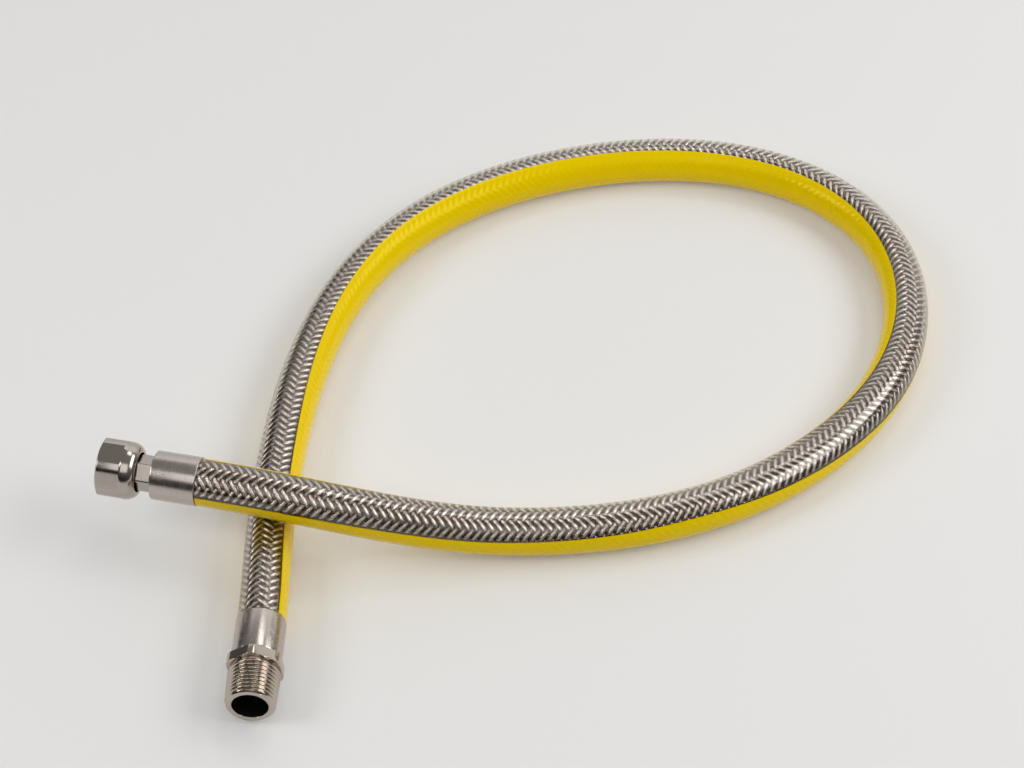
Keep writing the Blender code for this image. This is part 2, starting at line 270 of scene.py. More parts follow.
def new_material(name, colour, roughness, **sockets):
    """A material with one Principled shader. sockets are its other inputs, with _ for a space."""
    material = bpy.data.materials.new(name)
    material.use_nodes = True
    shader = material.node_tree.nodes["Principled BSDF"]
    shader.inputs["Base Color"].default_value = linear(colour)
    shader.inputs["Roughness"].default_value = roughness
    for key, value in sockets.items():
        shader.inputs[key.replace("_", " ")].default_value = value
    return material, shader


print("mid grey in linear light:", [round(value, 3) for value in linear("#808080")[:3]])

# %% [markdown]
# ## Turned stainless steel
# The ferrules, the nut and both nipples are turned from austenitic stainless bar. A lathe tool leaves
# fine rings round the axis, so the metal is satin: reflections are soft and run along the rings. Steel
# is a warm grey mirror. The rings on the real one are about 0.1 mm apart, too fine to show, so they are
# drawn 0.35 mm apart and very shallow, with a slow noise for handling marks. The drilled bore is rougher,
# and its colour is painted dark, as painted shade, because little light gets in.

# %% Turned steel
TOOL_MARK = 0.35         # mm between rings, drawn coarser than the real 0.1


def wave_scale(spacing):
    """The wave node's Scale for bands this far apart: at a Scale of 1 they lie 2 pi / 20 apart."""
    return 2 * pi / 20 / spacing


def steel_finish(name, colour, roughness, mark_depth, spread):
    """Steel with tool rings round the X axis of its object and uneven polish."""
    material, shader = new_material(name, colour, roughness, Metallic=1.0)
    place = add_node(material, "ShaderNodeTexCoord")
    in_mm = add_node(material, "ShaderNodeVectorMath", {0: place.outputs["Object"], 3: 1000.0},
                     operation="SCALE")
    rings = add_node(material, "ShaderNodeTexWave", {"Vector": in_mm.outputs["Vector"],
                                                     "Scale": wave_scale(TOOL_MARK),
                                                     "Distortion": 1.2, "Detail": 2.0,
                                                     "Detail Scale": 0.6},
                     wave_type="BANDS", bands_direction="X")
    handling = add_node(material, "ShaderNodeTexNoise", {"Vector": in_mm.outputs["Vector"],
                                                         "Scale": 0.35, "Detail": 4.0})
    polish = add_node(material, "ShaderNodeMapRange", {"Value": handling.outputs["Fac"],
                                                       "From Min": 0.3, "From Max": 0.7,
                                                       "To Min": roughness - spread,
                                                       "To Max": roughness + spread})
    marks = add_node(material, "ShaderNodeBump", {"Height": rings.outputs["Fac"], "Strength": 1.0,
                                                  "Distance": mark_depth * MM})
    material.node_tree.links.new(polish.outputs["Result"], shader.inputs["Roughness"])
    material.node_tree.links.new(marks.outputs["Normal"], shader.inputs["Normal"])
    return material


ferrule_steel = steel_finish("turned_stainless_ferrule", "#BFB7B0", 0.25, 0.003, 0.04)
fitting_steel = steel_finish("turned_stainless_fitting", "#B7AFA7", 0.17, 0.002, 0.03)
thread_steel = steel_finish("cut_stainless_thread", "#BFB4A8", 0.18, 0.0005, 0.03)
# Painted shade: the bore's steel is coloured near black for the shade deep inside it.
bore_steel_painted_shade = steel_finish("drilled_stainless_bore_painted_shade", "#3B3834", 0.45, 0.008, 0.08)
print("steel finishes:", ferrule_steel.name, fitting_steel.name, thread_steel.name, bore_steel_painted_shade.name)

# %% [markdown]
# ## Drawn wire and formed tube
# The braid's wires are drawn through a die, which leaves them bright. Eight wires of about 0.27 mm lie
# side by side in each strand. The strands are modelled one by one, and the wires in a strand are grooves in
# its surface: eight waves across the strand's width. The wire's colour carries painted shade: it turns
# dark and brown where a strand dives under another and along the strand's edges, and stays bright in
# the middle of the part on top. Behind the braid is the corrugated tube, formed from strip. Its steel
# is painted dark brown, as painted shade for the gaps between the strands.

# %% Wire and tube steel
WIRES = 8
STRAND_WIDTH = 2.2       # mm
WIRE_PITCH = STRAND_WIDTH / WIRES
# Painted shade: the wire stays bright near a strand's middle and is painted dark brown towards its edges.
UNSHADED_TO = 0.20         # of a strand's width, to each side of its middle
SHADE_FROM = 0.34
WIRE_BRIGHT = "#DCD5D6"
WIRE_PAINTED_SHADE = "#4A2E1E"

wire_steel, wire_shader = new_material("drawn_stainless_wire", WIRE_BRIGHT, 0.19, Metallic=1.0)
size_map = add_node(wire_steel, "ShaderNodeUVMap", uv_map="size_map")
strand_map = add_node(wire_steel, "ShaderNodeSeparateXYZ", {0: size_map.outputs["UV"]})
# Painted shade: a mask of the strand's edges and of where it dives under, which darkens the wire's colour.
from_middle = add_node(wire_steel, "ShaderNodeMath", {0: strand_map.outputs["X"]},
                       operation="ABSOLUTE")
edge_shade = add_node(wire_steel, "ShaderNodeMapRange", {"Value": from_middle.outputs["Value"],
                                                        "From Min": UNSHADED_TO * STRAND_WIDTH,
                                                        "From Max": SHADE_FROM * STRAND_WIDTH,
                                                        "To Min": 1.0, "To Max": 0.10})
on_top = add_node(wire_steel, "ShaderNodeMapRange", {"Value": strand_map.outputs["Y"],
                                                     "From Min": -0.9, "From Max": 0.7,
                                                     "To Min": 0.30, "To Max": 1.0})
unshaded = add_node(wire_steel, "ShaderNodeMath", {0: edge_shade.outputs["Result"],
                                                 1: on_top.outputs["Result"]},
                  operation="MULTIPLY")
wire_colour = add_node(wire_steel, "ShaderNodeMix", {0: unshaded.outputs["Value"], 6: linear(WIRE_PAINTED_SHADE),
                                                     7: linear(WIRE_BRIGHT)}, data_type="RGBA")
wire_steel.node_tree.links.new(wire_colour.outputs[2], wire_shader.inputs["Base Color"])
wires = add_node(wire_steel, "ShaderNodeTexWave", {"Vector": size_map.outputs["UV"],
                                                   "Scale": wave_scale(WIRE_PITCH),
                                                   "Distortion": 0.0},
                 wave_type="BANDS", bands_direction="X")
grooves = add_node(wire_steel, "ShaderNodeBump", {"Height": wires.outputs["Fac"], "Strength": 1.0,
                                                  "Distance": 0.04 * MM})
wire_steel.node_tree.links.new(grooves.outputs["Normal"], wire_shader.inputs["Normal"])

# Painted shade: the tube's steel is given a dark brown colour, so that the braid's gaps look shaded.
shaded_tube_steel, tube_shader = new_material("formed_stainless_tube_painted_dark", "#6A5848", 0.40, Metallic=1.0)
tube_place = add_node(shaded_tube_steel, "ShaderNodeTexCoord")
tube_noise = add_node(shaded_tube_steel, "ShaderNodeTexNoise", {"Vector": tube_place.outputs["Object"],
                                                         "Scale": 400.0, "Detail": 3.0})
tube_bump = add_node(shaded_tube_steel, "ShaderNodeBump", {"Height": tube_noise.outputs["Fac"],
                                                    "Strength": 0.4, "Distance": 0.02 * MM})
shaded_tube_steel.node_tree.links.new(tube_bump.outputs["Normal"], tube_shader.inputs["Normal"])
print("wires in a strand:", WIRES, "each", round(WIRE_PITCH, 2), "mm")

# %% [markdown]
# ## The braid's pattern, as numbers
# Twelve strands run round to the right and twelve to the left. Each passes over two and under two, which
# is a regular braid. Seen from outside, that makes bands along the hose: one where the right-hand
# strands lie on top, then one where the left-hand ones do, so the eye sees a herringbone. In the
# photograph the herringbone repeats every 3.5 mm, so a strand goes once round in 12 times that.

# %% The braid's numbers
STRANDS_EACH_WAY = 12
BRAID_REPEAT = 3.5 * MM
LEAD = STRANDS_EACH_WAY * BRAID_REPEAT
CROSSING = LEAD / (2 * STRANDS_EACH_WAY)
BRAID_RADIUS = 8.70 * MM
BRAID_END_RADIUS = 8.36 * MM   # where it goes into a ferrule
BRAID_SHOULDER = 4.0 * MM      # over which it gets wider behind the ferrule
STRAND_RISE = 0.30 * MM  # of a strand's middle, out where it passes over and in where it goes under
STRAND_THICKNESS = 0.42 * MM
BAND_TURN = 10.0         # degrees from the middle of the jacket's clear stripe to the first strand
DIVE = 2.4               # how steeply a strand goes from over to under


def over_or_under(angle):
    """From 1, where the right-hand strands lie on top, to -1, where they lie below. It changes fast."""
    bands = 2 * STRANDS_EACH_WAY * angle / (2 * pi)
    return np.tanh(DIVE * np.cos(pi / 2 * (bands - 0.5)))


print(f"lead {LEAD * 1000:.0f} mm, a crossing every {CROSSING * 1000:.2f} mm along the hose")

# %% [markdown]
# ## The PVC jacket's two materials
# The jacket is extruded from two plastics at once, one yellow and opaque, the other clear. PVC has an
# IOR of 1.53. Clear PVC is never quite colourless: through its 0.75 mm wall steel looks a little warm,
# and at the hose's edge, where the wall is seen lengthways, it turns yellowish. A volume does that. The
# yellow one is filled with pigment up to its surface, so its gloss is weak and yellowish too.
#
# The hot jacket shrinks onto the braid, so its outside carries a soft print of the strands. That print
# follows the same numbers as the braid: in one band the stripes lean right, in the next left. The height
# is worked out from the UV map, which holds turns round the hose and millimetres along.

# %% Jacket materials


def braid_print(material, strength):
    """Bump in the braid's pattern, from a UV map of turns round the hose and millimetres along it."""
    place = add_node(material, "ShaderNodeUVMap", uv_map="size_map").outputs["UV"]
    around = 2 * pi * STRANDS_EACH_WAY
    forward = 2 * pi / (BRAID_REPEAT * 1000)
    stripes = []
    for hand in (1, -1):
        phase = add_node(material, "ShaderNodeVectorMath", {0: place, 1: (around, -hand * forward, 0.0)},
                         operation="DOT_PRODUCT")
        stripe = add_node(material, "ShaderNodeMath", {0: phase.outputs["Value"]}, operation="COSINE")
        stripes.append(stripe.outputs["Value"])
    halfway = add_node(material, "ShaderNodeVectorMath", {0: place, 1: (around / 2, 0.0, 0.0)},
                       operation="DOT_PRODUCT")
    shifted = add_node(material, "ShaderNodeMath", {0: halfway.outputs["Value"], 1: pi / 4},
                       operation="SUBTRACT")
    band = add_node(material, "ShaderNodeMath", {0: shifted.outputs["Value"]}, operation="COSINE")
    right_on_top = add_node(material, "ShaderNodeMapRange", {"Value": band.outputs["Value"],
                                                             "From Min": -0.5, "From Max": 0.5})
    height = add_node(material, "ShaderNodeMix", {0: right_on_top.outputs["Result"],
                                                  2: stripes[1], 3: stripes[0]})
    return add_node(material, "ShaderNodeBump", {"Height": height.outputs[0], "Strength": 1.0,
                                                 "Distance": strength * MM})


yellow_pvc, yellow_shader = new_material("extruded_yellow_pvc", "#F2D100", 0.17, IOR=1.53,
                                         Specular_IOR_Level=0.38,
                                         Specular_Tint=linear("#FFE45A"))
yellow_print = braid_print(yellow_pvc, 0.045)
yellow_pvc.node_tree.links.new(yellow_print.outputs["Normal"], yellow_shader.inputs["Normal"])

TINT_DENSITY = 130.0     # per metre of clear plastic

clear_pvc, clear_shader = new_material("extruded_clear_pvc", "#FFFFFF", 0.10, IOR=1.53,
                                       Transmission_Weight=1.0)
clear_print = braid_print(clear_pvc, 0.020)
clear_pvc.node_tree.links.new(clear_print.outputs["Normal"], clear_shader.inputs["Normal"])
tint = add_node(clear_pvc, "ShaderNodeVolumeAbsorption", {"Color": linear("#FAE152"),
                                                          "Density": TINT_DENSITY})
clear_output = clear_pvc.node_tree.nodes["Material Output"]
clear_pvc.node_tree.links.new(tint.outputs["Volume"], clear_output.inputs["Volume"])
print("jacket materials:", yellow_pvc.name, clear_pvc.name)

# %% [markdown]
# ## The jacket
# The jacket is one closed tube with a 0.75 mm wall. Its clear stripe spans 117 degrees. The hose was
# twisted a little as it was laid: along the front the stripe faces up, and round the rest of the loop it
# has rolled outwards. The table gives that roll, judged from where the yellow begins at twenty places.
# Each ring of points is counted from the stripe's own middle, so the edge between the two plastics stays
# on one line of the mesh, and the braid under it rolls with it.

# %% The jacket
JACKET_OUTER = 10.0 * MM
JACKET_INNER = 9.25 * MM
JACKET_GAP = 0.3 * MM
JACKET_SIDES = 120
JACKET_STEP = 3.5 * MM
WINDOW_ANGLE = 117.0
ROLL_EASE = 0.018        # metres to each side, over which the roll is averaged
EASE_SAMPLES = 13
WINDOW_ROLL = [          # metres along the hose, and the middle of the clear stripe in degrees
    (0.00, 62.0),
    (0.05, 66.5),
    (0.09, 73.5),
    (0.13, 77.5),
    (0.17, 83.0),
    (0.21, 92.5),
    (0.25, 82.5),
    (0.29, 74.5),
    (0.32, 63.0),
    (0.36, 59.0),
    (0.41, 63.0),
    (0.46, 54.0),
    (0.52, 53.0),
    (0.60, 46.0),
    (0.68, 42.0),
    (0.73, 49.0),
    (0.77, 57.5),
    (0.81, 67.0),
    (0.86, 72.0),
    (0.91, 78.0),
]


def window_middle(along):
    """The angle of the clear stripe's middle, eased between the places of WINDOW_ROLL."""
    places, angles = np.array(WINDOW_ROLL).T
    shifts = np.linspace(-ROLL_EASE, ROLL_EASE, EASE_SAMPLES)
    return np.radians(np.mean([np.interp(along + shift, places, angles) for shift in shifts], axis=0))


count = int(HOSE_LENGTH / JACKET_STEP)
outer_along = np.linspace(JACKET_GAP, HOSE_LENGTH - JACKET_GAP, count)
ring_along = np.concatenate((outer_along, outer_along[::-1]))
ring_radius = np.repeat((JACKET_OUTER, JACKET_INNER), count)
offsets = np.linspace(-pi, pi, JACKET_SIDES, endpoint=False)
along_grid, offset_grid = np.meshgrid(ring_along, offsets, indexing="ij")
angle_grid = offset_grid + window_middle(along_grid)
jacket_points, _ = on_hose(along_grid, angle_grid, np.repeat(ring_radius[:, None], JACKET_SIDES, axis=1))
is_clear = np.abs(offsets + pi / JACKET_SIDES) < radians(WINDOW_ANGLE / 2)
uv_along = np.vstack((along_grid, along_grid[:1]))[:, list(range(JACKET_SIDES)) + [0]] * 1000
uv_turns = (np.append(offsets, pi) - radians(BAND_TURN)) / (2 * pi)
uv_turns = np.tile(uv_turns, (len(ring_along) + 1, 1))
jacket = grid_mesh("pvc_jacket_skin", jacket_points, [yellow_pvc, clear_pvc],
                   slots=np.tile(is_clear, (len(ring_along), 1)), uv=(uv_turns, uv_along),
                   join_ends=True)
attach(jacket, "hose")
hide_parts("pvc_jacket")
print(f"jacket: {len(jacket.data.polygons)} faces, {is_clear.sum()} of {JACKET_SIDES} columns clear")

# %% [markdown]
# ## The braid
# Each strand is a flat ribbon on a helix. Its middle rises where it passes over and sinks where it goes
# under, and its top is crowned, because round wires side by side under tension pile up in the middle. A
# picture of the weave on a plain sleeve would be quicker, but it has no gaps, no glints and no depth
# under the clear stripe, so all 24 strands are modelled.

# %% The braid's strands
STRAND_STEP = 0.8 * MM
CROWN = [(-1.0, -0.42), (-0.62, -0.15), (-0.38, 0.28), (0.0, 0.5), (0.38, 0.28), (0.62, -0.15),
         (1.0, -0.42), (0.6, -0.6), (-0.6, -0.6)]   # across and up, in half widths and thicknesses


def strand(start_turn, hand):
    """One strand's points, and a UV of mm across it and of its rise. hand is 1 right, -1 left."""
    places = np.arange(-INSIDE, HOSE_LENGTH + INSIDE, STRAND_STEP)
    angle = 2 * pi * start_turn + hand * 2 * pi * places / LEAD
    rise = hand * STRAND_RISE * over_or_under(angle)
    laid = angle + radians(BAND_TURN) + window_middle(places)
    radius = np.interp(places, [0.0, BRAID_SHOULDER, HOSE_LENGTH - BRAID_SHOULDER, HOSE_LENGTH],
                       [BRAID_END_RADIUS, BRAID_RADIUS, BRAID_RADIUS, BRAID_END_RADIUS])
    middle, outward = on_hose(places, laid, radius + rise)
    way = np.gradient(middle, axis=0)
    way /= np.linalg.norm(way, axis=1, keepdims=True)
    across = np.cross(outward, way)
    across /= np.linalg.norm(across, axis=1, keepdims=True)
    lift = np.cross(way, across)
    half_width = STRAND_WIDTH * MM / 2
    points = np.stack([middle + across * (sideways * half_width) + lift * (up * STRAND_THICKNESS)
                       for sideways, up in CROWN], axis=1)
    width_map = np.array([sideways for sideways, _ in CROWN] + [-1.0]) * STRAND_WIDTH / 2
    uv_across = np.tile(width_map, (len(places), 1))
    uv_height = np.repeat(rise[:, None] / STRAND_RISE, len(CROWN) + 1, axis=1)
    return points, uv_across, uv_height


GROUPS = 4
GROUP_SIZE = STRANDS_EACH_WAY // GROUPS
for hand, hand_name in ((1, "right"), (-1, "left")):
    for group in range(GROUPS):
        made = []
        for number in range(group * GROUP_SIZE, (group + 1) * GROUP_SIZE):
            points, u, v = strand(number / STRANDS_EACH_WAY, hand)
            made.append(grid_mesh(f"braid_{hand_name}_{number}", points, [wire_steel], uv=(u, v),
                                  caps=True))
        with bpy.context.temp_override(active_object=made[0], selected_editable_objects=made):
            bpy.ops.object.join()
        strands = made[0]
        strands.name = f"braid_strands_{hand_name}_{group + 1}"
        strands.data.name = strands.name
        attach(strands, "hose")
        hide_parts("wire_braid")
        print(strands.name, len(strands.data.polygons), "faces")

# %% [markdown]
# ## Fittings, turned and milled
# Each fitting is made round its own X axis, which starts where the ferrule begins and points away from
# the hose. A turned form is an outline of places and radii. A milled hexagon cuts that form back to its
# flats wherever the round stands proud of them. So each ring of points takes the smaller of the two
# radii, with a very small rounding between them, as a deburred edge has.

# %% Outlines and rings
FITTING_SIDES = 240
FILLET_STEPS = 4
EDGE_ROUND = 0.5         # mm, how softly a flat runs into a round
ring_angles = np.linspace(0.0, 2 * pi, FITTING_SIDES, endpoint=False)


def filleted(outline):
    """An outline whose corners are rounded. Each entry is x, radius, fillet and, on a hexagon, flats."""
    result = []
    count = len(outline)
    for index, entry in enumerate(outline):
        x, radius, fillet = entry[:3]
        flats = entry[3] if len(entry) > 3 else None
        here = np.array((x, radius))
        if not fillet:
            result.append((x, radius, flats))
            continue
        ends = []
        for other in (outline[index - 1], outline[(index + 1) % count]):
            way = np.array(other[:2]) - here
            distance = np.linalg.norm(way)
            ends.append(here + way / distance * min(fillet, distance / 2))
        for step in range(FILLET_STEPS + 1):
            t = step / FILLET_STEPS
            point = (1 - t) ** 2 * ends[0] + 2 * t * (1 - t) * here + t * t * ends[1]
            result.append((point[0], point[1], flats))
    return result


def ring_radii(radius, flats, turn):
    """The radius at each angle of one ring: round, or cut back to a hexagon's flats."""
    radii = np.full(FITTING_SIDES, radius)
    if flats:
        from_flat = (ring_angles - radians(turn)) % (pi / 3) - pi / 6
        hexagon = flats / 2 / np.cos(from_flat)
        radii = (radii + hexagon - np.sqrt((radii - hexagon) ** 2 + EDGE_ROUND ** 2 / 4)) / 2
    return radii


def lathe(name, rings, materials, second_from=None):
    """A closed piece from rings of (x, radii), in millimetres, with its axis on X."""
    x = np.array([ring[0] for ring in rings])
    radii = np.array([ring[1] for ring in rings])
    points = np.stack((np.repeat(x[:, None], FITTING_SIDES, axis=1), radii * np.cos(ring_angles),
                       radii * np.sin(ring_angles)), axis=-1) * MM
    slots = np.zeros((len(rings), FITTING_SIDES), dtype=int)
    if second_from is not None:
        slots[second_from:] = 1
    return grid_mesh(name, points[:, ::-1], materials, slots=slots, join_ends=True, sharp=45.0)


def milled(name, outline, material, turn=0.0):
    """A turned piece, milled to a hexagon where its outline says so."""
    rings = [(x, ring_radii(radius, flats, turn)) for x, radius, flats in filleted(outline)]
    return lathe(name, rings, [material])


def seat(piece, end, body, nodes):
    """Puts a fitting at its end of the hose, and says what it rides on and stands for."""
    point, heading = {"swivel": (ROUTE[0], SWIVEL_HEADING), "male": (ROUTE[-1], MALE_HEADING)}[end]
    turned = Matrix.Rotation(radians(heading), 4, "Z")
    piece.matrix_world = Matrix.Translation(Vector(point) * MM) @ turned
    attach(piece, body)
    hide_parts(*nodes)
    low = min(v.co.x for v in piece.data.vertices) * 1000
    high = max(v.co.x for v in piece.data.vertices) * 1000
    print(f"{piece.name}: {low:.1f} to {high:.1f} mm along its axis, {len(piece.data.polygons)} faces")
    return piece


print(f"{FITTING_SIDES} points round each fitting, edges softened over {EDGE_ROUND} mm")

# %% [markdown]
# ## The ferrules
# A ferrule is a plain steel sleeve, 19.3 mm long, pushed over the end of the braid and welded with it.
# It has a small rounded edge at each end and a lip that stops it at the nipple. Both ends of the hose
# have the same one, so one outline makes both.

# %% Ferrules
FERRULE_LENGTH = 19.3
FERRULE_OUTER = 10.3
FERRULE_BORE = 8.93
FERRULE_LIP = 1.5
LIP_HOLE = 8.1

FERRULE = [
    (0.0, FERRULE_OUTER, 0.45),
    (FERRULE_LENGTH, FERRULE_OUTER, 0.5),
    (FERRULE_LENGTH, LIP_HOLE, 0.1),
    (FERRULE_LENGTH - FERRULE_LIP, LIP_HOLE, 0),
    (FERRULE_LENGTH - FERRULE_LIP, FERRULE_BORE, 0),
    (0.0, FERRULE_BORE, 0.15),
]
seat(milled("ferrule_at_nut", FERRULE, ferrule_steel), "swivel", "hose",
     ["swivel_ferrule"])
male_sleeve = seat(milled("ferrule_at_thread", FERRULE, ferrule_steel), "male", "hose",
                   ["male_ferrule"])

# %% [markdown]
# ## The neck that the nut turns on
# Behind the nut a short hexagonal neck shows, 13.5 mm across its flats, so that a spanner can hold it
# while the nut is tightened. Inside the nut the neck is turned round, and ends in a flange that the
# nut's back wall pulls on.

# %% The neck
SEAT_GAP = 0.3           # mm between pieces that lie against each other
NECK_LENGTH = 6.2
NECK_FLATS = 13.5
NECK_CORNER = 7.73
NECK_TURN = 18.5
WELD_LENGTH = 2.0
WELD_FACE = FERRULE_LENGTH - FERRULE_LIP - SEAT_GAP - WELD_LENGTH
WELD_END = WELD_FACE + WELD_LENGTH
WELD_OUTER = FERRULE_BORE - SEAT_GAP
JOURNAL = 6.5            # mm, radius of the round part that the nut turns on
NUT_REAR = FERRULE_LENGTH + NECK_LENGTH
NUT_REAR_WALL = 4.4
FLANGE_BACK = NUT_REAR + NUT_REAR_WALL + SEAT_GAP
FLANGE_THICKNESS = 2.6
FLANGE_FACE = FLANGE_BACK + FLANGE_THICKNESS
FLANGE_OUTER = 9.0
NIPPLE_BORE = 5.5
HEX_END = NUT_REAR + 1.4   # where the hexagon ends, inside the nut's back

NECK = [
    (WELD_FACE, WELD_OUTER, 0),
    (WELD_END, WELD_OUTER, 0),
    (WELD_END, NECK_CORNER, 0, NECK_FLATS),
    (HEX_END, NECK_CORNER, 0, NECK_FLATS),
    (HEX_END, JOURNAL, 0),
    (FLANGE_BACK, JOURNAL, 0),
    (FLANGE_BACK, FLANGE_OUTER, 0.15),
    (FLANGE_FACE, FLANGE_OUTER, 0.3),
    (FLANGE_FACE, NIPPLE_BORE, 0.3),
    (WELD_FACE, NIPPLE_BORE, 0),
]
seat(milled("swivel_neck", NECK, fitting_steel, NECK_TURN), "swivel", "hose",
     ["swivel_nipple"])

# %% [markdown]
# ## Pipe threads
# Both ends have a half-inch pipe thread with 14 turns to the inch: parallel in the nut, tapered on the
# other end. A thread is one groove wound round and round, so its depth depends on the place along the
# axis and the angle together. Root and crest are rounded a little, as on the real ones. On a thread that
# is only a picture of grooves, the outline would stay straight, and here the outline is what shows.

# %% Threads
THREAD_PITCH = 25.4 / 14
THREAD_DEPTH = 1.16
THREAD_RINGS = 0.09      # mm between the rings of points that carry a thread
LAST_RING = 0.02         # mm that the last of them keeps from the end
RUNOUT = 0.1             # mm over which a thread fades in
BEYOND = 2.0             # mm past an end, for a groove that goes on through it


def thread_depth(x, start, end):
    """How deep the groove is at x, at each angle. It fades out at both ends."""
    phase = (x / THREAD_PITCH - ring_angles / (2 * pi)) % 1.0
    flank = np.abs(phase - 0.5) * 2
    groove = np.clip(1.25 * flank - 0.125, 0.0, 1.0)   # straight flanks between narrow flats
    groove = groove * groove * (3 - 2 * groove) * 0.25 + groove * 0.75   # a quarter of it smoothed
    fade = np.clip(min((x - start) / RUNOUT, (end - x) / RUNOUT), 0.0, 1.0)
    return THREAD_DEPTH * groove * fade


print(f"thread: pitch {THREAD_PITCH:.2f} mm, depth {THREAD_DEPTH} mm")

# %% [markdown]
# ## The swivel nut
# The nut is turned from hexagon bar of 24 mm. Its corners are turned down to narrow round lands, and its
# back to a dome, as wide as the bar is over its flats, so that the flats run out into it. The bore has a
# relief behind the thread, where the cutting tool ends, and a chamfer at the mouth. It is drawn a little
# shorter and wider than its plain solid, because that is how it looks close up.

# %% The nut
NUT_LENGTH = 16.9
NUT_CORNER = 12.8
NUT_FLATS = 24.0
NUT_TURN = 52.2
NUT_HEX_LENGTH = 10.2
NUT_LAND = 0.6
DOME_OUTER = 12.15
NUT_HOLE = 8.39
NUT_REAR_RIM = 1.0
NUT_THREAD_BORE = 9.3
NUT_CHAMFER = 0.9
NUT_BEVEL = 0.7          # mm along the axis, on the outside of the mouth
NUT_BEVEL_DEPTH = 0.55
NUT_RELIEF = 2.6         # mm of bore behind the thread
NUT_BACK_TRIM = 0.5      # mm that the nut is shorter than its solid, at the back and at the mouth
NUT_MOUTH_TRIM = 0.4
NUT_BACK = NUT_REAR + NUT_BACK_TRIM
NUT_MOUTH = NUT_REAR + NUT_LENGTH - NUT_MOUTH_TRIM
NUT_SEAT = NUT_REAR + NUT_REAR_WALL
HEX_BACK = NUT_MOUTH - NUT_HEX_LENGTH
DOME_START = HEX_BACK - NUT_LAND
DOME_ARC = radians(81.0)
DOME_STEPS = 14


def dome():
    """The nut's back: an arc from the round land to the rim round the neck."""
    rim = NUT_HOLE + NUT_REAR_RIM
    for step in range(DOME_STEPS + 1):
        lean = DOME_ARC * step / DOME_STEPS
        yield (DOME_START + (NUT_BACK - DOME_START) * sin(lean) / sin(DOME_ARC),
               DOME_OUTER - (DOME_OUTER - rim) * (1 - cos(lean)) / (1 - cos(DOME_ARC)), 0)


NUT_OUTSIDE = filleted([
    (NUT_MOUTH, NUT_FLATS / 2 - NUT_BEVEL_DEPTH, 0.1),
    (NUT_MOUTH - NUT_BEVEL, NUT_CORNER, 0.3, NUT_FLATS),
    (HEX_BACK, NUT_CORNER, 0.3, NUT_FLATS),
    *dome(),
    (NUT_BACK, NUT_HOLE, 0.15),
    (NUT_SEAT, NUT_HOLE, 0),
    (NUT_SEAT, NUT_THREAD_BORE + THREAD_DEPTH, 0),
])
nut_rings = [(x, ring_radii(radius, flats, NUT_TURN)) for x, radius, flats in NUT_OUTSIDE]
groove_end = NUT_MOUTH - NUT_CHAMFER
for x in np.arange(NUT_SEAT + 0.1, NUT_MOUTH - LAST_RING, THREAD_RINGS):
    relief = max(0.0, 1.0 - (x - NUT_SEAT) / NUT_RELIEF)
    cut = np.maximum(thread_depth(x, NUT_SEAT, NUT_MOUTH + BEYOND),
                     THREAD_DEPTH * min(1.0, 2.5 * relief))
    mouth = max(0.0, x - groove_end)
    nut_rings.append((x, np.maximum(NUT_THREAD_BORE + cut, NUT_THREAD_BORE + mouth)))
nut_rings.append((NUT_MOUTH, ring_radii(NUT_THREAD_BORE + NUT_CHAMFER + 0.2, None, 0.0)))
seat(lathe("swivel_nut_body", nut_rings, [fitting_steel]), "swivel", "nut",
     ["swivel_nut"])

# %% [markdown]
# ## The gasket
# A flat rubber washer lies in the nut against the flange. It is moulded nitrile rubber: black, matt and
# slightly grainy. It only shows when someone looks into the nut.

# %% The gasket
GASKET_THICKNESS = 2.0
GASKET_BACK = FLANGE_FACE + SEAT_GAP
GASKET_FRONT = GASKET_BACK + GASKET_THICKNESS
GASKET_BORE = 6.0

rubber, rubber_shader = new_material("moulded_nitrile_rubber", "#1B1B1A", 0.62, IOR=1.52)
rubber_place = add_node(rubber, "ShaderNodeTexCoord")
grain = add_node(rubber, "ShaderNodeTexNoise", {"Vector": rubber_place.outputs["Object"],
                                                "Scale": 2500.0, "Detail": 2.0})
grain_bump = add_node(rubber, "ShaderNodeBump", {"Height": grain.outputs["Fac"], "Strength": 0.5,
                                                 "Distance": 0.05 * MM})
rubber.node_tree.links.new(grain_bump.outputs["Normal"], rubber_shader.inputs["Normal"])
GASKET = [
    (GASKET_BACK, FLANGE_OUTER, 0.15),
    (GASKET_FRONT, FLANGE_OUTER, 0.15),
    (GASKET_FRONT, GASKET_BORE, 0.15),
    (GASKET_BACK, GASKET_BORE, 0.15),
]
seat(milled("flat_gasket", GASKET, rubber), "swivel", "nut",
     ["sealing_gasket"])

# %% [markdown]
# ## The male fitting
# This end has an R 1/2 taper thread: it gets wider by one in sixteen towards the collar, so it wedges
# tight in a parallel thread. The collar's six faces are milled across the whole of a turned disc. The
# bore takes the drilled steel, painted dark as shade, from just behind the end face.

# %% The male fitting
COLLAR_OUTER = 12.0
COLLAR_FLATS = 22.0
COLLAR_LENGTH = 4.9
COLLAR_TURN = 95.4
COLLAR_BEVEL = 0.35      # mm along the axis, at both edges of the collar
COLLAR_FACE_RADIUS = COLLAR_FLATS / 2 - 0.3
COLLAR_BACK = FERRULE_LENGTH + SEAT_GAP
COLLAR_FACE = COLLAR_BACK + COLLAR_LENGTH
MALE_OUTER = 20.95 / 2
MALE_LENGTH = 17.3
MALE_GAUGE = 8.2
MALE_RELIEF = 1.6
MALE_CHAMFER = 0.8
MALE_BORE = 7.4
MALE_BORE_DEPTH = 18.5
MALE_BORE_LIP = 0.6      # mm of bore that is as bright as the end face
BORE_CONE = 1.9          # mm along the axis, from the wide bore to the narrow one
MALE_END = COLLAR_FACE + MALE_LENGTH
TAPER = 1 / 16


def male_radius(x):
    """The taper thread's outer radius at x."""
    return MALE_OUTER + (MALE_END - x - MALE_GAUGE) * TAPER / 2


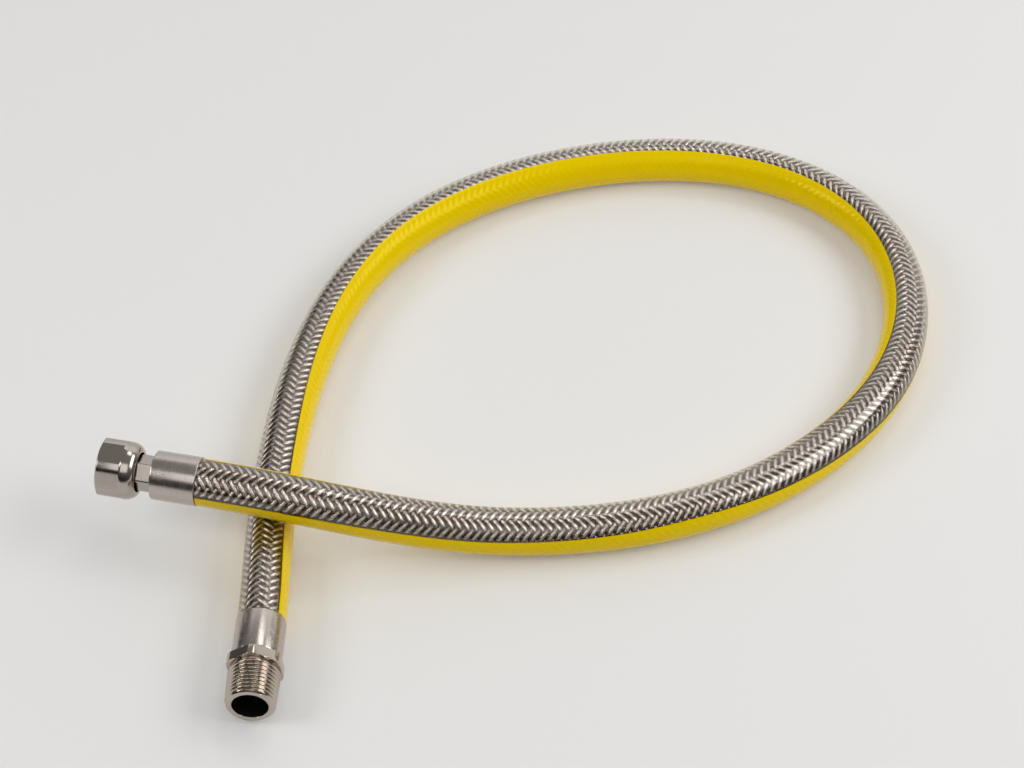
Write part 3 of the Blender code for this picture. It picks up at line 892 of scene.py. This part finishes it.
male_rings = [(x, ring_radii(radius, flats, COLLAR_TURN)) for x, radius, flats in filleted([
    (WELD_FACE, WELD_OUTER, 0),
    (WELD_END, WELD_OUTER, 0),
    (WELD_END, LIP_HOLE - SEAT_GAP, 0),
    (COLLAR_BACK, LIP_HOLE - SEAT_GAP, 0),
    (COLLAR_BACK, COLLAR_FACE_RADIUS, 0.1),
    (COLLAR_BACK + COLLAR_BEVEL, COLLAR_OUTER, 0.1, COLLAR_FLATS),
    (COLLAR_FACE - COLLAR_BEVEL, COLLAR_OUTER, 0.1, COLLAR_FLATS),
    (COLLAR_FACE, COLLAR_FACE_RADIUS, 0.1),
])]
for x in np.arange(COLLAR_FACE, MALE_END - LAST_RING, THREAD_RINGS):
    crest = np.full(FITTING_SIDES, male_radius(x))
    bare = max(0.0, x - (MALE_END - MALE_CHAMFER))
    relief = np.clip((COLLAR_FACE + MALE_RELIEF - x) / 0.5, 0.0, 1.0) * THREAD_DEPTH
    cut = np.maximum(thread_depth(x, COLLAR_FACE - BEYOND, MALE_END + BEYOND), relief)
    male_rings.append((x, np.minimum(crest - cut, crest - bare)))
end_radius = male_radius(MALE_END) - MALE_CHAMFER
end_face = filleted([
    (MALE_END, end_radius, 0),
    (MALE_END, MALE_BORE, 0.25),
    (MALE_END - MALE_BORE_LIP, MALE_BORE, 0),
])
bore_start = len(male_rings) + len(end_face)
male_rings += [(x, ring_radii(radius, None, 0.0)) for x, radius, _ in end_face + filleted([
    (MALE_END - MALE_BORE_DEPTH, MALE_BORE, 0),
    (MALE_END - MALE_BORE_DEPTH - BORE_CONE, NIPPLE_BORE, 0),
    (WELD_FACE, NIPPLE_BORE, 0),
])]
male = seat(lathe("male_fitting", male_rings, [thread_steel, bore_steel_painted_shade], second_from=bore_start - 1),
            "male", "hose", ["male_nipple"])

# %% [markdown]
# ## The hose's length
# The jacket is the hose's outside. It is 0.911 m long between the ferrules, which the photograph shows
# from end to end. It starts at the ferrule behind the nut and ends in the male fitting.

print(f"declared: {HOSE_LENGTH:.3f} m long, {2 * JACKET_OUTER * 1000:.0f} mm across")

# %% [markdown]
# ## What stays from the frame
# The corrugated tube keeps its own solid: its rings are modelled there, and it lies inside the braid, so
# only its finish is new.

# %% The corrugated tube
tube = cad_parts["corrugated_tube"]
# Its finish is steel painted dark brown, as painted shade in the braid's gaps.
tube.data.materials.clear()
tube.data.materials.append(shaded_tube_steel)
print("corrugated tube keeps its solid, with", shaded_tube_steel.name)

# %% [markdown]
# ## The floor
# The photograph has a pale grey floor without an edge, evenly bright up to its corners. A large sheet of
# matt paper gives that. It also glows a little by itself, as a backlit table does, which keeps it even.
# The glow is mixed in for the camera, for mirrors and for what is seen through clear plastic, and the
# rest of the paper is lit by the lamps and takes the shadows.

# %% The floor
FLOOR_SIZE = 12.0
FLOOR_LEVEL = -0.0003    # just under the hose
PAPER_SHARE = 0.2        # of the floor that glows evenly

floor_paint, floor_shader = new_material("matt_pale_floor", "#ECEBEA", 0.65, IOR=1.45)
floor_place = add_node(floor_paint, "ShaderNodeTexCoord")
floor_noise = add_node(floor_paint, "ShaderNodeTexNoise", {"Vector": floor_place.outputs["Object"],
                                                           "Scale": 300.0, "Detail": 3.0})
floor_bump = add_node(floor_paint, "ShaderNodeBump", {"Height": floor_noise.outputs["Fac"],
                                                      "Strength": 0.1, "Distance": 0.1 * MM})
floor_paint.node_tree.links.new(floor_bump.outputs["Normal"], floor_shader.inputs["Normal"])
seen = add_node(floor_paint, "ShaderNodeLightPath")
seen_or_mirrored = add_node(floor_paint, "ShaderNodeMath", {0: seen.outputs["Is Camera Ray"],
                                                            1: seen.outputs["Is Glossy Ray"]},
                            operation="ADD")
any_view = add_node(floor_paint, "ShaderNodeMath", {0: seen_or_mirrored.outputs["Value"],
                                                    1: seen.outputs["Is Transmission Ray"]},
                    operation="ADD")
share = add_node(floor_paint, "ShaderNodeMath", {0: any_view.outputs["Value"], 1: PAPER_SHARE},
                 operation="MULTIPLY", use_clamp=True)
paper = add_node(floor_paint, "ShaderNodeEmission", {"Color": linear("#E4E3E1"), "Strength": 1.0})
lit_floor = add_node(floor_paint, "ShaderNodeMixShader", {0: share.outputs["Value"],
                                                          1: floor_shader.outputs["BSDF"],
                                                          2: paper.outputs["Emission"]})
floor_paint.node_tree.links.new(lit_floor.outputs["Shader"],
                                floor_paint.node_tree.nodes["Material Output"].inputs["Surface"])
half = FLOOR_SIZE / 2
floor_mesh = bpy.data.meshes.new("floor")
floor_mesh.from_pydata([(-half, -half, FLOOR_LEVEL), (half, -half, FLOOR_LEVEL),
                        (half, half, FLOOR_LEVEL), (-half, half, FLOOR_LEVEL)], [], [(0, 1, 2, 3)])
floor_mesh.materials.append(floor_paint)
floor = bpy.data.objects.new("floor", floor_mesh)
bpy.context.scene.collection.objects.link(floor)
print(f"floor: {FLOOR_SIZE:.0f} m wide")

# %% [markdown]
# ## The lamps
# The shadows are faint and wide, so the lamps are large and soft: one on each side, a weaker one in
# front for the bright line along the hose, a short strip overhead for the braid's highlight, and two
# wide ones at the back, which the ferrules mirror. The left one is small and bright, so it draws the row
# of bright dots in the yellow's gloss.

# %% The lamps


def add_lamp(name, location, aim, width, depth, brightness):
    """A flat soft lamp, as a panel of the given size. brightness is what a mirror would show of it."""
    lamp = bpy.data.lights.new(name, "AREA")
    lamp.shape = "RECTANGLE"
    lamp.size = width
    lamp.size_y = depth
    lamp.energy = brightness * pi * width * depth
    holder = bpy.data.objects.new(name, lamp)
    holder.location = location
    holder.rotation_euler = (Vector(aim) - Vector(location)).to_track_quat("-Z", "Y").to_euler()
    bpy.context.scene.collection.objects.link(holder)
    print(f"{name}: {lamp.energy:.1f} W")


add_lamp("right_softbox", (1.19, 0.04, 1.07), (0.0, 0.0, 0.0), 1.4, 0.72, 3.8)
add_lamp("left_softbox", (-1.20, -0.33, 0.98), (0.0, 0.0, 0.0), 0.8, 0.60, 4.6)
add_lamp("front_panel", (-0.12, -0.92, 1.31), (0.0, 0.0, 0.0), 1.3, 0.90, 1.1)
add_lamp("overhead_strip", (0.30, 0.80, 1.48), (0.0, 0.0, 0.0), 0.6, 0.40, 3.0)
add_lamp("back_panel", (0.05, 1.60, 1.20), (0.0, 0.0, 0.0), 2.9, 0.92, 0.72)
add_lamp("back_wall", (0.62, 2.3, 0.55), (0.0, 0.0, 0.3), 3.8, 1.0, 0.6)

# %% [markdown]
# ## The room around
# The room is dark at the front, and pale above and behind. The metal needs both: steel with only white
# round it looks like chalk. The Standard view shows every colour as it is set in this lesson.

# %% The world
world = bpy.data.worlds.new("studio")
world.use_nodes = True
room = world.node_tree.nodes["Background"]
room.inputs["Color"].default_value = linear("#F4F2EF")
sky_way = add_node(world, "ShaderNodeTexCoord")
back_and_up = add_node(world, "ShaderNodeVectorMath", {0: sky_way.outputs["Generated"],
                                                       1: (0.3, 0.3, 0.8)},
                       operation="DOT_PRODUCT")
glow = add_node(world, "ShaderNodeMapRange", {"Value": back_and_up.outputs["Value"],
                                              "From Min": -0.1, "From Max": 0.7,
                                              "To Min": 0.03, "To Max": 0.28})
world.node_tree.links.new(glow.outputs["Result"], room.inputs["Strength"])
bpy.context.scene.world = world
bpy.context.scene.view_settings.view_transform = "Standard"
print("world:", world.name)

# %% [markdown]
